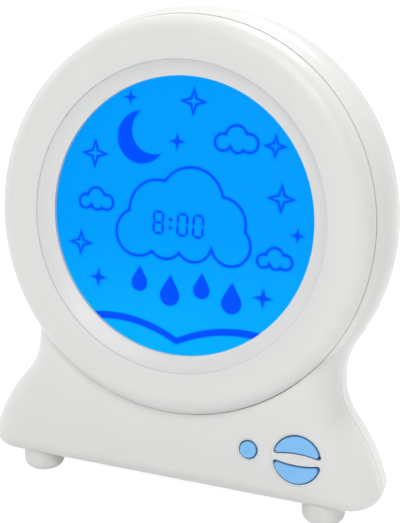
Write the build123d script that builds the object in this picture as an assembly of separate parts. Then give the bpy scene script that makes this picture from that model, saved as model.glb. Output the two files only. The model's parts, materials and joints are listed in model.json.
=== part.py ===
from build123d import *
import os
from math import cos, hypot, radians, sin, sqrt

os.makedirs("parts", exist_ok=True)

# Bedside clock for a child: a round drum that leans back on a flared base. Millimetres, Z up, the
# clock faces -Y. Most pieces are drawn in the face frame, whose origin is the middle of the drum in
# the plane of the ring's seam: x to the right, y up along the face, z forward out of the face.

# ---- stance and case outline -------------------------------------------------------------------
TILT = 8.0            # lean of the face from upright, degrees
CENTRE_H = 94.9       # height of the drum's middle above the table
FACE_Y = -12.79       # where the seam plane crosses the drum's middle, along Y
UNDER_H = 7.1         # height of the flat underside
DRUM_R = 67.2         # outer radius of the drum
NECK_HALF = 53.8      # half width at the waist
NECK_R = 21.0         # hollow curve at the waist
BASE_HALF = 72.0      # half width that the base flares to
WING_R = 55.0         # round of the flared base
SIDE_ROUND = 11.4     # wide round of the base's front edges at its sides
BOTTOM_ROUND = 4.8    # round of the edges along the underside
REAR_ROUND = 7.5      # round of the rear edges
FACE_Z = 0.6          # front of the base, ahead of the ring's seam
WALL = 2.2            # case wall

# ---- depths, along the face axis -----------------------------------------------------------------
PARTING_Z = -11.0     # where front and rear covers meet
RIM_Z = -24.5         # flat back of the drum at its middle
RIM_TILT = 8.0        # lean of that flat back, degrees
PARTING_GAP = 0.35     # fine shadow line between the covers
TONGUE = 1.6          # how far the rear cover's tongue reaches into the front cover
TONGUE_WALL = 0.9
TONGUE_FIT = 0.15
TONGUE_STEP = 0.1     # the tongue's inner side stands this far into the wall

# ---- housing on the back ---------------------------------------------------------------------------
POD_HALF = 48.0       # half width, and radius of its round top
POD_DRAFT = 2.0       # how much narrower it is at the back
POD_ROUND = 9.0
POD_FOOT_ROUND = 5.0
CASE_BACK = 26.6      # where the back ends, along Y
POD_START = -4.0      # front end of the housing's solid, inside the drum

# ---- bezel ring ------------------------------------------------------------------------------------
RING_R = 64.1
RING_GAP = 0.12       # between ring and front cover, all round
CREST_R = 57.5
CREST_Z = 5.8
STEP_R = 50.1
STEP_Z = 4.3
STEP_DROP = 0.6
WINDOW_R = 45.0
LIP_Z = 0.8           # front edge of the window opening
LENS_SEAT_Z = -0.4
RING_WALL = 2.2
SEAT_Z = -3.2         # the ring rests here on the front cover's shelf
SHELF_R = 58.0
SHELF_T = 2.0
COLLAR_T = 1.9
OPENING_ROUND = 0.25

# ---- window, display and night light -------------------------------------------------------------
LENS_R = 47.5
LENS_T = 1.4
GLASS_HALF = 49.0     # display glass, half the distance across its flats
GLASS_T = 1.1
CONTACT_LEDGE = 2.5
CONTACT_HALF = 14.0
SHEET_R = 48.5        # diffuser, light guide and reflector
SHEET_FIT = 0.3
DIFFUSER_T = 0.6
GUIDE_T = 3.0
GUIDE_FLAT = 45.5
REFLECTOR_T = 0.3
LED_SIZE = (0.8, 3.0, 2.4)
LED_PITCH = 8.0
LEDS_PER_SIDE = 4
LED_BOARD_T = 1.0
LED_BOARD_LENGTH = 32.0
TRAY_WALL = 1.5
TRAY_FLOOR = 1.6
TRAY_FIT = 0.4
LUG_R = 59.8          # circle of the ring's screws
LUG_T = 2.0
LUG_HALF = 3.0
RING_SCREWS = 6

# ---- main board ------------------------------------------------------------------------------------
BOARD_SIZE = (80.0, 62.0)
BOARD_Y = -14.0
BOARD_T = 1.6
STANDOFF = 3.5
STANDOFF_R = 2.5
BOARD_SCREW_INSET = 4.5
CHIP_SIZE = (14.0, 14.0, 1.4)
CAP_R = 3.15
CAP_H = 7.0
CAP_INSETS = ((9.0, 15.0), (17.0, 15.0))      # from the board's lower left corner
CRYSTAL_SIZE = (10.5, 4.4, 3.4)
SOCKET_SIZE = (26.0, 4.0, 2.1)
FLEX_T = 0.25
FLEX_W = 24.0
FLEX_BEND = 1.0
FLEX_CLEAR = 1.1      # from the tray's wall to the flat cable behind it

# ---- buttons ---------------------------------------------------------------------------------------
OK_X, OK_Y, OK_R = 28.0, -72.2, 2.72
PAIR_X, PAIR_Y, PAIR_R = 44.3, -72.8, 7.64
BRIDGE_MID = 1.8      # half thickness of the bridge between the pair, in its middle
BRIDGE_END = 0.75     # and at the edge of the circle
BUTTON_GAP = 0.52
BUTTON_CORNER = 0.9
BUTTON_PROUD = 0.75   # above the shallow dish round the buttons
BUTTON_CROWN = 0.35
DISH_DEPTH = 0.3
DISH_MARGIN = 1.1
FLANGE = 0.9
FLANGE_T = 1.2
FLANGE_GAP = 0.2
TRAVEL = 0.8
STEM_R = 1.5
MARK_DEPTH = 0.1
SWITCH = 6.0
SWITCH_H = 3.5
SWITCH_COVER_T = 0.3
PLUNGER_R = 1.7
PLUNGER_FIT = 0.06
PLUNGER_PROUD = 1.3
PLUNGER_DEPTH = 1.8
SWITCH_SHIFT = 4.4    # of the pair's switches, up and down from its middle
KEY_BOARD_Z = -9.0
KEY_BOARD_T = 1.2
KEY_BOARD_X = (18.6, 54.3)
KEY_BOARD_Y = (-82.9, -61.5)
KEY_POSTS = ((21.5, -79.3), (21.5, -64.5), (51.9, -63.9), (34.5, -80.6))
KEY_POST_R = 2.2
RIBBON_W = 8.0
RIBBON_T = 0.8
RIBBON_INSET = 11.5   # from the main board's right end to the middle of the ribbon
RIBBON_BEND = 2.0
RIBBON_DROP = 3.0     # how far it runs behind the main board

# ---- screws ----------------------------------------------------------------------------------------
SMALL_SCREW = (1.9, 1.3, 0.85)     # head radius, head height, shank radius
WIDE_SCREW = (3.0, 1.2, 0.85)
CASE_SCREW = (2.8, 2.0, 1.35)
PILOT_FIT = 0.05
HOLE_FIT = 0.3
CASE_SCREW_LENGTH = 10.2
RING_SCREW_LENGTH = 7.6
BOARD_SCREW_LENGTH = 4.6
KEY_SCREW_LENGTH = 5.6
SPEAKER_SCREW_LENGTH = 2.8
CASE_SCREW_R = 58.6
CASE_SCREW_ANGLES = (25.0, 90.0, 155.0)
BASE_SCREW = (58.0, -76.0)
COLUMN_R = 3.2
TUBE_R = 4.6
HEAD_SEAT_Z = -16.2
COLUMN_END_Z = -12.0
COLUMN_GAP = 0.1

# ---- speaker, on the inside of the back ------------------------------------------------------------
SPEAKER_H = 103.0     # height of its middle above the table
SPEAKER_R = 20.0
SPEAKER_DEPTH = 9.0
MAGNET_R = 11.0
MAGNET_H = 6.0
GASKET_T = 0.8
BASKET_T = 0.8
CONE_R = 17.2
CONE_FIT = 0.3
CONE_STEP = 0.9       # how deep the cone's edge sits behind the flange's face
GRILLE_HOLE_R = 1.0
GRILLE_PITCH = 4.2
GRILLE_RINGS = 3
SPEAKER_SCREW_R = 22.2
SPEAKER_BOSS_R = 2.0
SPEAKER_FLANGE_T = 1.2

# ---- power jack ------------------------------------------------------------------------------------
JACK_X, JACK_H = 24.0, 27.0
JACK_FLANGE_R = 5.6
JACK_FLANGE_T = 1.2
JACK_R = 4.0
JACK_LENGTH = 13.0
JACK_BORE_R = 2.75
JACK_BORE_DEPTH = 9.5
JACK_PIN_R = 1.0
JACK_NUT = 5.5        # half the distance across its flats
JACK_NUT_T = 2.0
JACK_FIT = 0.1
WIRE_R = 0.6
WIRE_SPACING = 1.6

# ---- shallow recess for a rating plate on the back -------------------------------------------------
LABEL_SIZE = (44.0, 20.0)
LABEL_H = 62.0
LABEL_DEPTH = 0.3

# ---- feet ------------------------------------------------------------------------------------------
FOOT_R = 7.0
FOOT_ROUND = 2.6
FRONT_FOOT = (51.5, -15.8)
FRONT_STEM = (51.5, -18.8)      # ahead of the foot's middle, clear of the parting
REAR_FOOT = (36.0, 14.4)
FOOT_STEM_R = 2.4
FOOT_HEAD_R = 2.9
FOOT_PLAY = 0.9       # under the stem's head
FOOT_FIT = 0.1

REACH = 300.0         # larger than the clock, for cutting tools

FACE = Plane(
    origin=(0, FACE_Y, CENTRE_H), x_dir=(1, 0, 0), z_dir=(0, -cos(radians(TILT)), sin(radians(TILT)))
)
RIM = Plane(
    origin=FACE.from_local_coords((0, 0, RIM_Z)),
    x_dir=(1, 0, 0),
    z_dir=(0, -cos(radians(RIM_TILT)), sin(radians(RIM_TILT))),
)
BACK_OF_SPEAKER = Plane(origin=(0, CASE_BACK, SPEAKER_H), x_dir=(1, 0, 0), z_dir=(0, 1, 0))
BACK_OF_JACK = Plane(origin=(JACK_X, CASE_BACK, JACK_H), x_dir=(1, 0, 0), z_dir=(0, 1, 0))

# The hollow curve at the waist is centred outside the case, the round of the wing inside it.
NECK_X = NECK_HALF + NECK_R
NECK_Y = -sqrt((DRUM_R + NECK_R) ** 2 - NECK_X ** 2)
WING_X = BASE_HALF - WING_R
WING_Y = NECK_Y - sqrt((NECK_R + WING_R) ** 2 - (NECK_X - WING_X) ** 2)

OPENING_R = RING_R + RING_GAP
INNER_FACE_Z = FACE_Z - WALL

# The stack behind the window, front to back.
GLASS_Z = LENS_SEAT_Z - LENS_T - 0.1
LEDGE_Z = GLASS_Z - 2 * GLASS_T
GUIDE_Z = LEDGE_Z - DIFFUSER_T
REFLECTOR_Z = GUIDE_Z - GUIDE_T
FLOOR_Z = REFLECTOR_Z - REFLECTOR_T
TRAY_BACK_Z = FLOOR_Z - TRAY_FLOOR
TRAY_IN_R = GLASS_HALF / cos(radians(22.5)) + TRAY_FIT
TRAY_R = TRAY_IN_R + TRAY_WALL
SHELF_Z = SEAT_Z - SHELF_T
BOARD_Z = TRAY_BACK_Z - STANDOFF
BOARD_BACK_Z = BOARD_Z - BOARD_T
BOARD_LOW_Y = BOARD_Y - BOARD_SIZE[1] / 2
RIBBON_X = BOARD_SIZE[0] / 2 - RIBBON_INSET
CAP_PLACES = [(x - BOARD_SIZE[0] / 2, BOARD_LOW_Y + y) for x, y in CAP_INSETS]

# The speaker, measured from the outside of the back.
SPEAKER_FACE = -WALL - GASKET_T
SPEAKER_SEAT = SPEAKER_FACE - SPEAKER_FLANGE_T
SPEAKER_BACK = SPEAKER_FACE - SPEAKER_DEPTH
CONE_SEAT = SPEAKER_FACE - CONE_STEP


# ---- small helpers ---------------------------------------------------------------------------------
def solid_between(face, low, high):
    """A face drawn on XY, thickened from z = low to z = high."""
    return Pos(0, 0, low) * extrude(face, high - low)


def rod(radius, low, high, x=0.0, y=0.0):
    """A cylinder along z between two heights."""
    return Pos(x, y, (low + high) / 2) * Cylinder(radius, high - low)


def tube(outer, inner, low, high, x=0.0, y=0.0):
    """A hollow cylinder along z between two heights."""
    return rod(outer, low, high, x, y) - rod(inner, low - 1, high + 1, x, y)


def block(x_range, y_range, z_range):
    """A box given by its three ranges."""
    size = [high - low for low, high in (x_range, y_range, z_range)]
    middle = [(high + low) / 2 for low, high in (x_range, y_range, z_range)]
    return Pos(*middle) * Box(*size)


def turned(outline):
    """A closed outline of (radius, z) curves, turned about z."""
    return revolve(Plane.XZ * make_face(outline), Axis.Z)


def polar(radius, angle):
    """x and y of a point on a circle, the angle in degrees."""
    return radius * cos(radians(angle)), radius * sin(radians(angle))


def on_face(shape):
    """Puts a shape drawn in the face frame where it stands."""
    return FACE.location * shape


def in_plane(shape, plane):
    """Edges of a shape that lie wholly in a plane."""
    return [
        edge
        for edge in shape.edges()
        if all(abs(plane.to_local_coords(edge @ t).Z) < 1e-3 for t in (0.0, 0.37, 0.71, 1.0))
    ]


def group(solids):
    """Separate solids that share one node."""
    return Compound(children=[solid for part in solids for solid in part.solids()])


def screw(size, length, x, y, head_z):
    """Pan-head screw along z, head at the back, with a cross recess."""
    head_r, head_h, shank_r = size
    body = rod(head_r, head_z - head_h, head_z) + rod(shank_r, head_z, head_z + length)
    body = fillet(body.edges().sort_by(Axis.Z)[0], head_h * 0.35)
    slot = Box(head_r * 1.1, head_r * 0.22, head_h) + Box(head_r * 0.22, head_r * 1.1, head_h)
    return Pos(x, y, 0) * (body - Pos(0, 0, head_z - head_h) * slot)


# ---- case ------------------------------------------------------------------------------------------
def case_outline(inset):
    """Front view of the case in the face frame, left open-ended below the underside."""
    drum_r, neck_r, wing_r = DRUM_R - inset, NECK_R + inset, WING_R - inset
    foot_x, foot_y = WING_X + wing_r, -CENTRE_H - 20
    near = (NECK_X * drum_r / (DRUM_R + NECK_R), NECK_Y * drum_r / (DRUM_R + NECK_R))
    lean_x, lean_y = (WING_X - NECK_X) / (NECK_R + WING_R), (WING_Y - NECK_Y) / (NECK_R + WING_R)
    far = (NECK_X + lean_x * neck_r, NECK_Y + lean_y * neck_r)
    waist = (NECK_X - neck_r, NECK_Y)
    swell = hypot(foot_x - WING_X + far[0] - WING_X, WING_Y - WING_Y + far[1] - WING_Y)
    wing = (
        WING_X + wing_r * (foot_x - WING_X + far[0] - WING_X) / swell,
        WING_Y + wing_r * (far[1] - WING_Y) / swell,
    )

    def mirrored(point):
        return -point[0], point[1]

    return make_face([
        ThreePointArc(mirrored(near), (0, drum_r), near),
        ThreePointArc(near, waist, far),
        ThreePointArc(far, wing, (foot_x, WING_Y)),
        Polyline((foot_x, WING_Y), (foot_x, foot_y), (-foot_x, foot_y), (-foot_x, WING_Y)),
        ThreePointArc((-foot_x, WING_Y), mirrored(wing), mirrored(far)),
        ThreePointArc(mirrored(far), mirrored(waist), mirrored(near)),
    ])


def above(height):
    """Everything above a level."""
    return Pos(0, 0, height + REACH / 2) * Box(REACH, REACH, REACH)


def level(inset):
    """Height of the underside, or of the floor inside it."""
    return UNDER_H + inset


def case_block(inset, low, high):
    """The case's outline with its lower corners rounded, between two depths of the face frame."""
    body = on_face(solid_between(case_outline(inset), RIM_Z - 40, FACE_Z)) & above(level(inset))
    corners = [
        edge
        for edge in in_plane(body, Plane.XY.offset(level(inset)))
        if abs(edge.center().X) > NECK_HALF
    ]
    body = fillet(corners, BOTTOM_ROUND - inset)
    return body & on_face(block((-REACH, REACH), (-REACH, REACH), (low, high)))


def rising(edges):
    """Edges of a loop, without the straight one that closes it below the case."""
    return [edge for edge in edges if abs((edge @ 0).Z - (edge @ 1).Z) > 0.01 or edge.center().Z > 0]


def drum_and_base(inset):
    """Drum and base in one: wide rounds in front, a flat back, and a drum wall up to the seam."""
    back = RIM.offset(inset)
    body = on_face(solid_between(case_outline(inset), RIM_Z - 40, FACE_Z - inset))
    body -= back.location * Pos(0, 0, -REACH / 2) * Box(REACH, REACH, REACH)
    body = fillet(rising(in_plane(body, FACE.offset(FACE_Z - inset))), SIDE_ROUND - inset)
    body = fillet(rising(in_plane(body, back)), REAR_ROUND - inset)
    body &= above(level(inset))
    body = fillet(in_plane(body, Plane.XY.offset(level(inset))), BOTTOM_ROUND - inset)
    wall = Polyline(
        (0, -inset),
        (OPENING_R - inset, -inset),
        (DRUM_R - inset, PARTING_Z),
        (0, PARTING_Z),
        (0, -inset),
    )
    return body + on_face(turned([wall]))


def pod(inset):
    """The upright housing on the back, round at its top and flat at its foot."""
    half, back, foot = POD_HALF - inset, CASE_BACK - inset, level(inset)
    round_r = POD_ROUND - inset
    narrow = half - POD_DRAFT
    outline = Polyline((0, POD_START), (half, POD_START), (narrow, back), (0, back), (0, POD_START))
    section = make_face(outline)
    corner = section.vertices().sort_by(Axis.X)[-2:].sort_by(Axis.Y)[-1]
    section = fillet(corner, round_r)
    top = Pos(0, 0, CENTRE_H) * revolve(section, Axis.Y)
    lower = Pos(0, 0, foot) * extrude(section + mirror(section, Plane.YZ), CENTRE_H - foot)
    rim = [
        edge for edge in in_plane(lower, Plane.XY.offset(foot)) if edge.center().Y > POD_START + 1
    ]
    lower = fillet(rim, POD_FOOT_ROUND - inset)
    return (top & above(CENTRE_H)) + lower


def envelope(inset):
    """The whole case as one block, shrunk by inset all round."""
    return drum_and_base(inset) + pod(inset)


def behind(z):
    """Everything behind a depth of the face frame."""
    return on_face(Pos(0, 0, z - REACH / 2) * Box(REACH, REACH, REACH))


def case_screw_places():
    """Where the covers are screwed together, in the face frame."""
    drum = [polar(CASE_SCREW_R, angle) for angle in CASE_SCREW_ANGLES]
    return drum + [BASE_SCREW, (-BASE_SCREW[0], BASE_SCREW[1])]


def ring_screw_places():
    """The screws that clamp tray, shelf and ring together."""
    return [polar(LUG_R, 360 / RING_SCREWS * i) for i in range(RING_SCREWS)]


# ---- buttons, drawn flat in the face frame -------------------------------------------------------
def pair_half(radius, shift, upper):
    """One half of the pair: a circle cut off along the curved edge of the bridge."""
    side = 1 if upper else -1
    reach = 2 * PAIR_R
    bulge = BRIDGE_MID + shift
    sag = (BRIDGE_MID - BRIDGE_END) * (reach / PAIR_R) ** 2
    edge = ThreePointArc((-reach, bulge - sag), (0, bulge), (reach, bulge - sag))
    sides = Polyline((reach, bulge - sag), (reach, -reach), (-reach, -reach), (-reach, bulge - sag))
    half = Circle(radius) - make_face([edge, sides])
    if not upper:
        half = mirror(half, Plane.XZ)
    tips = half.vertices().sort_by(Axis.Y)
    tips = tips[:2] if side == 1 else tips[-2:]
    return Pos(PAIR_X, PAIR_Y) * fillet(tips, BUTTON_CORNER)


def button_shape(name, grow):
    """Outline of a button's opening, grown or shrunk, and where its switch stands."""
    if name == "ok":
        return Pos(OK_X, OK_Y) * Circle(OK_R + BUTTON_GAP + grow)
    return pair_half(PAIR_R + BUTTON_GAP + grow, -min(grow, 0.0), name == "up")


BUTTONS = {
    "ok": (OK_X, OK_Y),
    "up": (PAIR_X, PAIR_Y + SWITCH_SHIFT),
    "down": (PAIR_X, PAIR_Y - SWITCH_SHIFT),
}
DISH_Z = FACE_Z - DISH_DEPTH
CAP_Z = DISH_Z + BUTTON_PROUD
FLANGE_Z = INNER_FACE_Z - FLANGE_GAP
SWITCH_Z = KEY_BOARD_Z + SWITCH_H
PLUNGER_Z = SWITCH_Z + PLUNGER_PROUD


def push_button(name):
    """Cap with a crowned edge, a flange that holds it in, and a stem down to the switch."""
    x, y = BUTTONS[name]
    cap = solid_between(button_shape(name, -BUTTON_GAP), FLANGE_Z, CAP_Z)
    cap = fillet(in_plane(cap, Plane.XY.offset(CAP_Z)), BUTTON_CROWN)
    flange = solid_between(button_shape(name, FLANGE), FLANGE_Z - FLANGE_T, FLANGE_Z)
    if name != "ok":
        flange &= solid_between(bridge_side(name), FLANGE_Z - FLANGE_T, FLANGE_Z)
    stem = rod(STEM_R, PLUNGER_Z, FLANGE_Z - FLANGE_T, x, y)
    mark = solid_between(button_mark(name), CAP_Z - MARK_DEPTH, CAP_Z + 1)
    return on_face(cap + flange + stem - mark)


def bridge_side(name):
    """The side of the bridge that a button of the pair keeps to."""
    grown = pair_half(PAIR_R + 4 * FLANGE, BUTTON_GAP, name == "up")
    return grown


def button_mark(name):
    """A raised-edge arrow for up and down, a small ring for the plain button."""
    if name == "ok":
        return Pos(OK_X, OK_Y) * (Circle(1.1) - Circle(0.75))
    sign = 1 if name == "up" else -1
    arrow = make_face(Polyline((-1.5, -0.8), (1.5, -0.8), (0, 1.1), (-1.5, -0.8)))
    if sign < 0:
        arrow = mirror(arrow, Plane.XZ)
    return Pos(PAIR_X, PAIR_Y + sign * SWITCH_SHIFT) * arrow


# ---- covers ----------------------------------------------------------------------------------------
def front_cover(outer, inner):
    """Drum wall, shelf for the ring, base front with its button openings, and screw columns."""
    collar = tube(OPENING_R + COLLAR_T, OPENING_R, SHELF_Z, FACE_Z)
    shelf = tube(OPENING_R + COLLAR_T, SHELF_R, SHELF_Z, SEAT_Z)
    columns = [rod(COLUMN_R, COLUMN_END_Z, SHELF_Z, *place) for place in case_screw_places()[:3]]
    columns += [
        rod(COLUMN_R, COLUMN_END_Z, INNER_FACE_Z + WALL / 2, *place)
        for place in case_screw_places()[3:]
    ]
    posts = [rod(KEY_POST_R, KEY_BOARD_Z, INNER_FACE_Z + WALL / 2, *place) for place in KEY_POSTS]
    fittings = on_face(collar + shelf + columns + posts) & outer

    opening = rod(OPENING_R, SEAT_Z, REACH / 4) + rod(SHELF_R, SHELF_Z - 1, SEAT_Z)
    edge = ThreePointArc(
        (OPENING_R, FACE_Z - OPENING_ROUND),
        (
            OPENING_R + OPENING_ROUND * (1 - cos(radians(45))),
            FACE_Z - OPENING_ROUND * (1 - sin(radians(45))),
        ),
        (OPENING_R + OPENING_ROUND, FACE_Z),
    )
    eased = turned([
        edge,
        Polyline(
            (OPENING_R + OPENING_ROUND, FACE_Z),
            (OPENING_R + OPENING_ROUND, FACE_Z + 1),
            (OPENING_R - 1, FACE_Z + 1),
            (OPENING_R - 1, FACE_Z - OPENING_ROUND),
            (OPENING_R, FACE_Z - OPENING_ROUND),
        ),
    ])
    shell = outer - inner - behind(PARTING_Z)
    shell -= case_block(WALL - TONGUE_WALL - TONGUE_FIT, PARTING_Z - 1, PARTING_Z + TONGUE)
    shell += fittings

    cuts = [opening, eased]
    for name in BUTTONS:
        cuts.append(solid_between(button_shape(name, 0), INNER_FACE_Z - 1, FACE_Z + 1))
    cuts.append(rod(PAIR_R + DISH_MARGIN, DISH_Z, FACE_Z + 1, PAIR_X, PAIR_Y))
    cuts.append(rod(OK_R + DISH_MARGIN, DISH_Z, FACE_Z + 1, OK_X, OK_Y))
    for place in ring_screw_places():
        cuts.append(rod(SMALL_SCREW[2] + HOLE_FIT, SHELF_Z - 1, SEAT_Z + 1, *place))
    pilot = SMALL_SCREW[2] + PILOT_FIT
    for place in KEY_POSTS:
        cuts.append(rod(pilot, KEY_BOARD_Z - 1, KEY_BOARD_Z + 6, *place))
    for place in case_screw_places():
        cuts.append(rod(CASE_SCREW[2] + PILOT_FIT, COLUMN_END_Z - 1, SHELF_Z - 0.6, *place))
    shell -= on_face(Part() + cuts)
    return shell - foot_holes(FRONT_STEM)


def rear_cover(outer, inner):
    """Rear shell with its tongue, screw tubes, speaker grille and power inlet."""
    shell = (outer - inner) & behind(PARTING_Z - PARTING_GAP)
    tongue_out = case_block(WALL - TONGUE_WALL, PARTING_Z - 3, PARTING_Z + TONGUE - TONGUE_FIT)
    tongue_in = case_block(WALL - TONGUE_STEP, PARTING_Z - 4, PARTING_Z + TONGUE)
    shell += tongue_out - tongue_in
    tubes = [
        rod(TUBE_R, RIM_Z - 20, COLUMN_END_Z - COLUMN_GAP, *place) for place in case_screw_places()
    ]
    bosses = [
        BACK_OF_SPEAKER.location * rod(SPEAKER_BOSS_R, SPEAKER_SEAT, -WALL / 2, *place)
        for place in speaker_screw_places()
    ]
    shell += (on_face(Part() + tubes) + bosses) & outer

    cuts = []
    for place in case_screw_places():
        cuts.append(rod(CASE_SCREW[0] + HOLE_FIT, RIM_Z - 20, HEAD_SEAT_Z, *place))
        cuts.append(rod(CASE_SCREW[2] + HOLE_FIT, HEAD_SEAT_Z - 1, COLUMN_END_Z + 1, *place))
    shell -= on_face(Part() + cuts)

    holes = [rod(GRILLE_HOLE_R, -WALL - 1, 1, *place) for place in grille_places()]
    pilots = [
        rod(WIDE_SCREW[2] + PILOT_FIT, SPEAKER_SEAT - 1, -WALL / 2, *place)
        for place in speaker_screw_places()
    ]
    shell -= BACK_OF_SPEAKER.location * (Part() + holes + pilots)
    inlet = rod(JACK_R + JACK_FIT, -WALL - 1, 1) + rod(JACK_FLANGE_R + JACK_FIT, -JACK_FLANGE_T, 1)
    shell -= BACK_OF_JACK.location * inlet
    shell -= Pos(0, CASE_BACK, LABEL_H) * Box(LABEL_SIZE[0], 2 * LABEL_DEPTH, LABEL_SIZE[1])
    return shell - foot_holes(REAR_FOOT)


def foot_holes(place):
    """Holes for the stems of two feet."""
    x, y = place
    hole = FOOT_STEM_R + FOOT_FIT
    return rod(hole, 0, UNDER_H + 3 * WALL, x, y) + rod(hole, 0, UNDER_H + 3 * WALL, -x, y)


def foot(side, place, stem_place, outer):
    """Short round foot with a rounded sole, shaped to the case above it, and a push-in stem."""
    head_z = UNDER_H + WALL + FOOT_PLAY
    sole = turned([
        Polyline((0, 0), (FOOT_R - FOOT_ROUND, 0)),
        ThreePointArc(
            (FOOT_R - FOOT_ROUND, 0),
            (
                FOOT_R - FOOT_ROUND * (1 - sin(radians(45))),
                FOOT_ROUND * (1 - cos(radians(45))),
            ),
            (FOOT_R, FOOT_ROUND),
        ),
        Polyline((FOOT_R, FOOT_ROUND), (FOOT_R, 2 * UNDER_H), (0, 2 * UNDER_H), (0, 0)),
    ])
    stem = rod(FOOT_STEM_R, UNDER_H / 2, head_z + 1.4)
    head = Pos(0, 0, head_z + 0.7) * Cone(FOOT_HEAD_R, FOOT_STEM_R, 1.4)
    standing = Pos(side * place[0], place[1], 0) * sole - outer
    return standing + Pos(side * stem_place[0], stem_place[1], 0) * (stem + head)


# ---- ring, window and display ----------------------------------------------------------------------
def bezel_ring():
    """Fat rounded ring, with a dished step down to the window and bosses behind."""
    crest = EllipticalCenterArc((CREST_R, 0), RING_R - CREST_R, CREST_Z, arc_size=90)
    shoulder = TangentArc((CREST_R, CREST_Z), (STEP_R, STEP_Z), tangent=(-1, 0))
    dish_top = (STEP_R - STEP_DROP / 3, STEP_Z - STEP_DROP)
    dish_mid = ((dish_top[0] + WINDOW_R) / 2, (dish_top[1] + LIP_Z) / 2 - 0.25)
    pocket_r = LENS_R + 0.1
    rim_r = pocket_r + RING_WALL - 0.2
    inside = Polyline(
        (WINDOW_R, LIP_Z),
        (WINDOW_R, LENS_SEAT_Z),
        (pocket_r, LENS_SEAT_Z),
        (pocket_r, GLASS_Z),
        (rim_r, GLASS_Z),
        (rim_r + 0.4, STEP_Z - STEP_DROP - RING_WALL),
        (CREST_R - 0.8, CREST_Z - RING_WALL),
        (CREST_R + 2.4, CREST_Z - RING_WALL - 0.8),
        (RING_R - RING_WALL, 0),
        (RING_R - RING_WALL, SEAT_Z),
        (RING_R, SEAT_Z),
        (RING_R, 0),
    )
    ring = turned([
        crest,
        shoulder,
        Polyline((STEP_R, STEP_Z), dish_top),
        ThreePointArc(dish_top, dish_mid, (WINDOW_R, LIP_Z)),
        inside,
    ])
    boss_r = RING_R - LUG_R - RING_GAP / 2
    bosses = [rod(min(boss_r, 2.4), SEAT_Z, LIP_Z + 1.6, *place) for place in ring_screw_places()]
    pilots = [
        rod(SMALL_SCREW[2] + PILOT_FIT, SEAT_Z - 1, LIP_Z + 0.6, *place)
        for place in ring_screw_places()
    ]
    return on_face(ring + bosses - pilots)


def octagon(half):
    """Eight-sided glass outline, given half the distance across its flats."""
    return RegularPolygon(half, 8, major_radius=False, rotation=22.5)


def front_glass():
    """Front glass of the display."""
    return solid_between(octagon(GLASS_HALF), GLASS_Z - GLASS_T, GLASS_Z)


def rear_glass():
    """Rear glass, with a ledge below that carries the display's contacts."""
    ledge = Pos(0, -GLASS_HALF) * Rectangle(2 * CONTACT_HALF, 2 * CONTACT_LEDGE)
    return solid_between(octagon(GLASS_HALF) + ledge, LEDGE_Z, GLASS_Z - GLASS_T)


def guide_outline():
    """Light guide: a disc with two flats where the lamps shine in."""
    return Circle(SHEET_R) & Rectangle(2 * GUIDE_FLAT, 2 * SHEET_R + 2)


def lamp_places():
    """Middle of each lamp, in x and y."""
    first = -LED_PITCH * (LEDS_PER_SIDE - 1) / 2
    x = GUIDE_FLAT + 0.1 + LED_SIZE[0] / 2
    return [(side * x, first + LED_PITCH * i) for side in (-1, 1) for i in range(LEDS_PER_SIDE)]


LED_BACK = GUIDE_FLAT + 0.1 + LED_SIZE[0]
LED_Z = (GUIDE_Z - GUIDE_T / 2 - LED_SIZE[2] / 2, GUIDE_Z - GUIDE_T / 2 + LED_SIZE[2] / 2)


def led_board(side):
    """Narrow board that stands on edge beside the light guide."""
    x_range = sorted((side * LED_BACK, side * (LED_BACK + LED_BOARD_T)))
    half = LED_BOARD_LENGTH / 2
    return block(x_range, (-half, half), (REFLECTOR_Z, GUIDE_Z - 0.05))


def lamp(x, y):
    """One side-lit lamp with a small dished front."""
    body = block(
        (x - LED_SIZE[0] / 2, x + LED_SIZE[0] / 2), (y - LED_SIZE[1] / 2, y + LED_SIZE[1] / 2), LED_Z
    )
    return body


def backlight_tray():
    """White tray that holds the light guide and clamps the display against the ring."""
    tray = rod(TRAY_R, TRAY_BACK_Z, LEDGE_Z)
    tray += tube(TRAY_R, TRAY_IN_R, LEDGE_Z - 0.5, GLASS_Z - 0.2)
    tray -= rod(SHEET_R + SHEET_FIT, FLOOR_Z, LEDGE_Z + 1)
    half = LED_BOARD_LENGTH / 2 + 0.4
    pocket_x = LED_BACK + LED_BOARD_T + 0.15
    tray -= block((-pocket_x, pocket_x), (-half, half), (FLOOR_Z, LEDGE_Z + 1))
    for place in ring_screw_places():
        angle = Vector(*place).get_signed_angle(Vector(1, 0), Vector(0, 0, -1))
        arm = block((TRAY_R - 1, LUG_R), (-LUG_HALF, LUG_HALF), (SHELF_Z - LUG_T, SHELF_Z))
        tray += Rot(0, 0, angle) * arm + rod(LUG_HALF, SHELF_Z - LUG_T, SHELF_Z, *place)
    for place in board_screw_places():
        tray += rod(STANDOFF_R, BOARD_Z, TRAY_BACK_Z, *place)
    for place in ring_screw_places():
        tray -= rod(SMALL_SCREW[2] + HOLE_FIT, SHELF_Z - LUG_T - 1, SHELF_Z + 1, *place)
    for place in board_screw_places():
        tray -= rod(SMALL_SCREW[2] + PILOT_FIT, BOARD_Z - 1, TRAY_BACK_Z + 0.4, *place)
    notch = FLEX_W / 2 + 0.6
    low_y = -GLASS_HALF - 0.1
    tray -= block((-notch, notch), (-TRAY_R - 1, low_y), (GLASS_Z - GLASS_T - 1, GLASS_Z + 1))
    return tray


# ---- boards ----------------------------------------------------------------------------------------
def board_screw_places():
    """Four corners of the main board."""
    x = BOARD_SIZE[0] / 2 - BOARD_SCREW_INSET
    y = BOARD_SIZE[1] / 2 - BOARD_SCREW_INSET
    return [(i * x, BOARD_Y + j * y) for i in (-1, 1) for j in (-1, 1)]


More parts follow.
